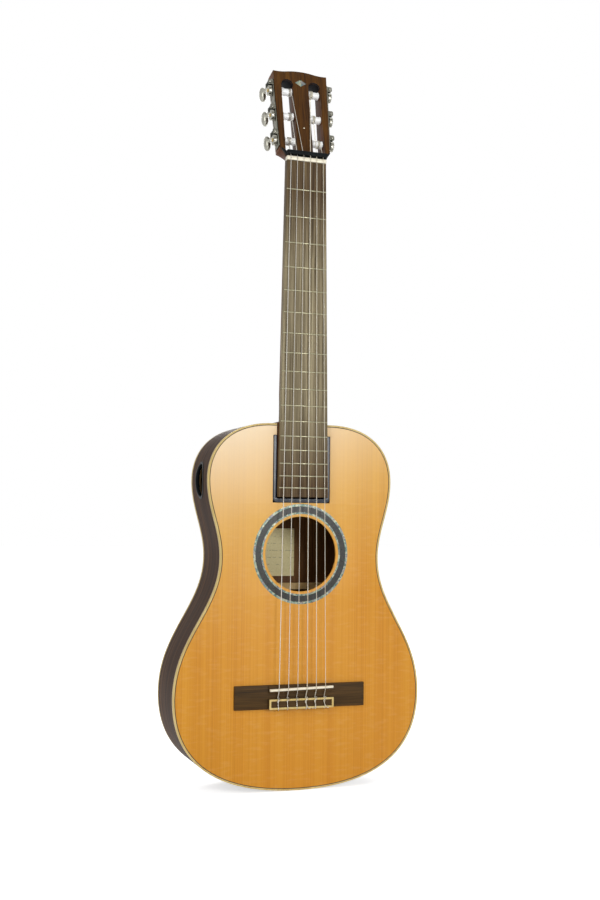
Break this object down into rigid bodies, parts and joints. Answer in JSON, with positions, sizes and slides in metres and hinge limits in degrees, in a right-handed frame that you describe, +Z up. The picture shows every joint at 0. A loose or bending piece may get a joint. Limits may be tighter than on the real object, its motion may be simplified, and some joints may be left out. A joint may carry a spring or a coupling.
{
  "type": "small-bodied classical guitar",
  "caption": "Small-bodied nylon-string guitar with a slotted headstock, a round sound hole, a side port and a neck that slides out of a pocket in the body.",
  "frame": {"origin": "middle of the body's bottom end, half way between the face and the back, where a floor stand's cradle holds it", "axes": "+Z up the neck towards the headstock, -Y out of the face, +X towards the treble side"},
  "size_m": [0.316, 0.0945, 0.8978],
  "materials": {
    "cedar_top": "satin clear lacquer over fine straight-grained cedar",
    "rosewood_body": "satin lacquer over dark rosewood",
    "maple_trim": "satin cream-yellow wood trim",
    "abalone_inlay": "polished shell chips round a dark band",
    "spruce_inner": "bare sanded spruce",
    "mahogany_neck": "satin lacquer over red-brown wood",
    "dark_rosewood": "open-grained, unlacquered",
    "black_gloss": "polished black",
    "bone": "polished bone",
    "label_paper": "plain paper",
    "nickel": "polished nickel plate",
    "white_plastic": "smooth white",
    "wound_string": "silver wire wound on a core",
    "nylon_string": "clear nylon"
  },
  "bodies": {
    "body": {"soundboard": "cedar_top", "rosette": "abalone_inlay", "back_plate": "rosewood_body", "side_bass": "rosewood_body", "side_treble": "rosewood_body", "tail_strip": "maple_trim", "top_binding": "maple_trim", "back_binding": "maple_trim", "top_lining_bass": "spruce_inner", "top_lining_treble": "spruce_inner", "back_lining_bass": "spruce_inner", "back_lining_treble": "spruce_inner", "neck_block": "mahogany_neck", "tail_block": "mahogany_neck", "sound_hole_doubler": "spruce_inner", "pocket_bezel": "black_gloss", "sound_hole_label": "label_paper", "side_port_ring": "black_gloss", "lower_brace": "spruce_inner", "fan_brace_1": "spruce_inner", "fan_brace_2": "spruce_inner", "fan_brace_3": "spruce_inner", "back_brace": "spruce_inner", "latch_housing": "nickel", "bridge": "dark_rosewood", "saddle": "bone", "tie_block_trim": "maple_trim", "string_6": "wound_string", "string_5": "wound_string", "string_4": "wound_string", "string_3": "nylon_string", "string_2": "nylon_string", "string_1": "nylon_string"},
    "neck": {"neck": "mahogany_neck", "headstock": "mahogany_neck", "headstock_veneer": "mahogany_neck", "fretboard": "dark_rosewood", "nut": "bone", "string_keeper": "black_gloss", "tuner_plate_bass": "nickel", "tuner_plate_treble": "nickel"},
    "latch_button": {"latch_button": "nickel"},
    "tuner_key_6": {"tuner_key_6": "nickel"},
    "tuner_roller_6": {"string_roller_6": "white_plastic", "roller_gear_6": "nickel"},
    "tuner_key_5": {"tuner_key_5": "nickel"},
    "tuner_roller_5": {"string_roller_5": "white_plastic", "roller_gear_5": "nickel"},
    "tuner_key_4": {"tuner_key_4": "nickel"},
    "tuner_roller_4": {"string_roller_4": "white_plastic", "roller_gear_4": "nickel"},
    "tuner_key_3": {"tuner_key_3": "nickel"},
    "tuner_roller_3": {"string_roller_3": "white_plastic", "roller_gear_3": "nickel"},
    "tuner_key_2": {"tuner_key_2": "nickel"},
    "tuner_roller_2": {"string_roller_2": "white_plastic", "roller_gear_2": "nickel"},
    "tuner_key_1": {"tuner_key_1": "nickel"},
    "tuner_roller_1": {"string_roller_1": "white_plastic", "roller_gear_1": "nickel"}
  },
  "joints": [
    {"name": "neck_slide", "type": "slide", "parent": "body", "child": "neck", "axis": [0, 0, 1], "range_m": [0, 0.1], "deforming": ["string_6", "string_5", "string_4", "string_3", "string_2", "string_1"]},
    {"name": "latch_press", "type": "slide", "parent": "body", "child": "latch_button", "axis": [0, -1, 0], "range_m": [0, 0.003], "stiffness_N_per_m": 600, "springref_m": -0.003},
    {"name": "key_6_turn", "type": "hinge", "parent": "neck", "child": "tuner_key_6", "pos_m": [-0.03835, -0.03041, 0.80971], "axis": [0, 0.9744, -0.225], "continuous": true},
    {"name": "roller_6_turn", "type": "hinge", "parent": "neck", "child": "tuner_roller_6", "pos_m": [-0.03808, -0.03259, 0.80027], "axis": [-0.9996, -0.0064, -0.0277], "continuous": true},
    {"name": "key_5_turn", "type": "hinge", "parent": "neck", "child": "tuner_key_5", "pos_m": [-0.03935, -0.02254, 0.84382], "axis": [0, 0.9744, -0.225], "continuous": true},
    {"name": "roller_5_turn", "type": "hinge", "parent": "neck", "child": "tuner_roller_5", "pos_m": [-0.03907, -0.02472, 0.83437], "axis": [-0.9996, -0.0064, -0.0277], "continuous": true},
    {"name": "key_4_turn", "type": "hinge", "parent": "neck", "child": "tuner_key_4", "pos_m": [-0.04034, -0.01467, 0.87792], "axis": [0, 0.9744, -0.225], "continuous": true},
    {"name": "roller_4_turn", "type": "hinge", "parent": "neck", "child": "tuner_roller_4", "pos_m": [-0.04007, -0.01685, 0.86847], "axis": [-0.9996, -0.0064, -0.0277], "continuous": true},
    {"name": "key_3_turn", "type": "hinge", "parent": "neck", "child": "tuner_key_3", "pos_m": [0.04034, -0.01467, 0.87792], "axis": [0, 0.9744, -0.225], "continuous": true},
    {"name": "roller_3_turn", "type": "hinge", "parent": "neck", "child": "tuner_roller_3", "pos_m": [0.04007, -0.01685, 0.86847], "axis": [0.9996, -0.0064, -0.0277], "continuous": true},
    {"name": "key_2_turn", "type": "hinge", "parent": "neck", "child": "tuner_key_2", "pos_m": [0.03935, -0.02254, 0.84382], "axis": [0, 0.9744, -0.225], "continuous": true},
    {"name": "roller_2_turn", "type": "hinge", "parent": "neck", "child": "tuner_roller_2", "pos_m": [0.03907, -0.02472, 0.83437], "axis": [0.9996, -0.0064, -0.0277], "continuous": true},
    {"name": "key_1_turn", "type": "hinge", "parent": "neck", "child": "tuner_key_1", "pos_m": [0.03835, -0.03041, 0.80971], "axis": [0, 0.9744, -0.225], "continuous": true},
    {"name": "roller_1_turn", "type": "hinge", "parent": "neck", "child": "tuner_roller_1", "pos_m": [0.03808, -0.03259, 0.80027], "axis": [0.9996, -0.0064, -0.0277], "continuous": true}
  ],
  "couplings": [
    {"joint": "roller_6_turn", "follows": "key_6_turn", "ratio": 0.071429},
    {"joint": "roller_5_turn", "follows": "key_5_turn", "ratio": 0.071429},
    {"joint": "roller_4_turn", "follows": "key_4_turn", "ratio": 0.071429},
    {"joint": "roller_3_turn", "follows": "key_3_turn", "ratio": 0.071429},
    {"joint": "roller_2_turn", "follows": "key_2_turn", "ratio": 0.071429},
    {"joint": "roller_1_turn", "follows": "key_1_turn", "ratio": 0.071429}
  ]
}
